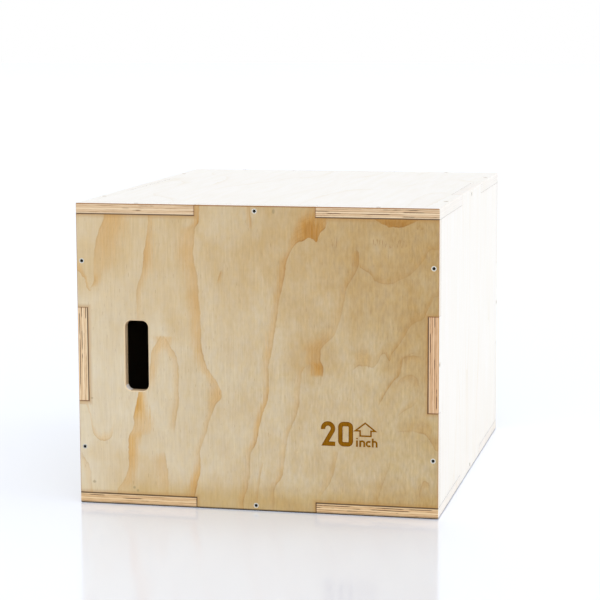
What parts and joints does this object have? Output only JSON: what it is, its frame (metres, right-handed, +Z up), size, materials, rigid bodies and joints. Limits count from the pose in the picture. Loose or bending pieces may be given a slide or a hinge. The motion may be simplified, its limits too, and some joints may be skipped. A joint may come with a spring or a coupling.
{
  "type": "plyo box",
  "caption": "Hollow plywood jump box of three heights, with finger-jointed corners, countersunk screws and upright hand holes for carrying it.",
  "frame": {"origin": "middle of the underside, on the floor, with the box on its lowest height", "axes": "+Z up, -Y towards the front panel, +X to the right seen from the front"},
  "size_m": [0.6096, 0.762, 0.508],
  "materials": {
    "plywood": "sanded pine plywood, bare",
    "screw_zinc": "bright zinc plate"
  },
  "bodies": {
    "root": {"top_panel": "plywood", "bottom_panel": "plywood", "front_panel": "plywood", "back_panel": "plywood", "right_panel": "plywood", "left_panel": "plywood", "centre_brace": "plywood", "top_front_screws": "screw_zinc", "top_back_screws": "screw_zinc", "top_left_screws": "screw_zinc", "top_right_screws": "screw_zinc", "bottom_front_screws": "screw_zinc", "bottom_back_screws": "screw_zinc", "bottom_left_screws": "screw_zinc", "bottom_right_screws": "screw_zinc", "front_top_screw": "screw_zinc", "front_bottom_screw": "screw_zinc", "front_left_screws": "screw_zinc", "front_right_screws": "screw_zinc", "back_top_screw": "screw_zinc", "back_bottom_screw": "screw_zinc", "back_left_screws": "screw_zinc", "back_right_screws": "screw_zinc", "right_top_screw": "screw_zinc", "right_bottom_screw": "screw_zinc", "right_front_screw": "screw_zinc", "right_back_screw": "screw_zinc", "left_top_screw": "screw_zinc", "left_bottom_screw": "screw_zinc", "left_front_screw": "screw_zinc", "left_back_screw": "screw_zinc"}
  },
  "joints": []
}
